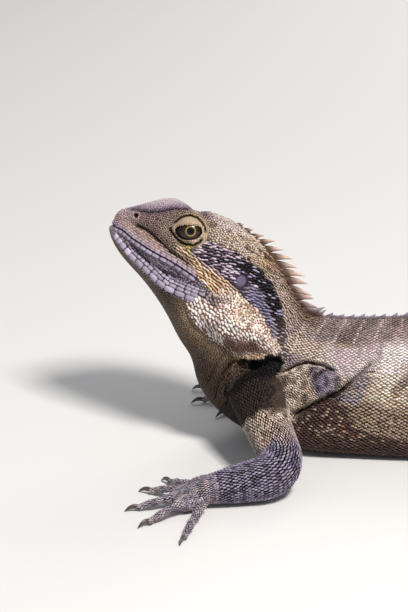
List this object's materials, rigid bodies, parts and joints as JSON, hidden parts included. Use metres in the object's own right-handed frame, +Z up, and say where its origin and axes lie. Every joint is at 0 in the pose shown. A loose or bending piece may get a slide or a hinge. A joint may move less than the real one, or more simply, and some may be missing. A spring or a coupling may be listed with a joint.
{
  "type": "water dragon",
  "caption": "Life-size eastern water dragon lying on its belly, head raised, with a spiny crest, bent limbs with clawed hands and feet, and a long tapering tail laid on the floor.",
  "frame": {"origin": "middle of the flat that the belly rests on, at floor level", "axes": "+Z up; -X towards the snout and +X towards the tail's tip; -Y to the animal's left and +Y to its right"},
  "size_m": [0.6408, 0.2507, 0.0905],
  "materials": {
    "skin": "matte scaled skin, tan and grey-brown with a black stripe behind the eye",
    "limb_skin": "matte scaled skin, slate grey with tan flecks",
    "eye": "wet and glossy, dark brown with a gold ring"
  },
  "bodies": {
    "root": {"head": "skin", "neck": "skin", "torso": "skin", "tail_base": "skin", "tail_upper": "skin", "tail_middle": "skin", "tail_lower": "skin", "tail_tip": "skin", "left_upper_arm": "limb_skin", "left_forearm": "limb_skin", "left_hand": "limb_skin", "left_thigh": "limb_skin", "left_shank": "limb_skin", "left_foot": "limb_skin", "right_upper_arm": "limb_skin", "right_forearm": "limb_skin", "right_hand": "limb_skin", "right_thigh": "limb_skin", "right_shank": "limb_skin", "right_foot": "limb_skin", "eye_left": "eye", "eye_right": "eye"}
  },
  "joints": []
}
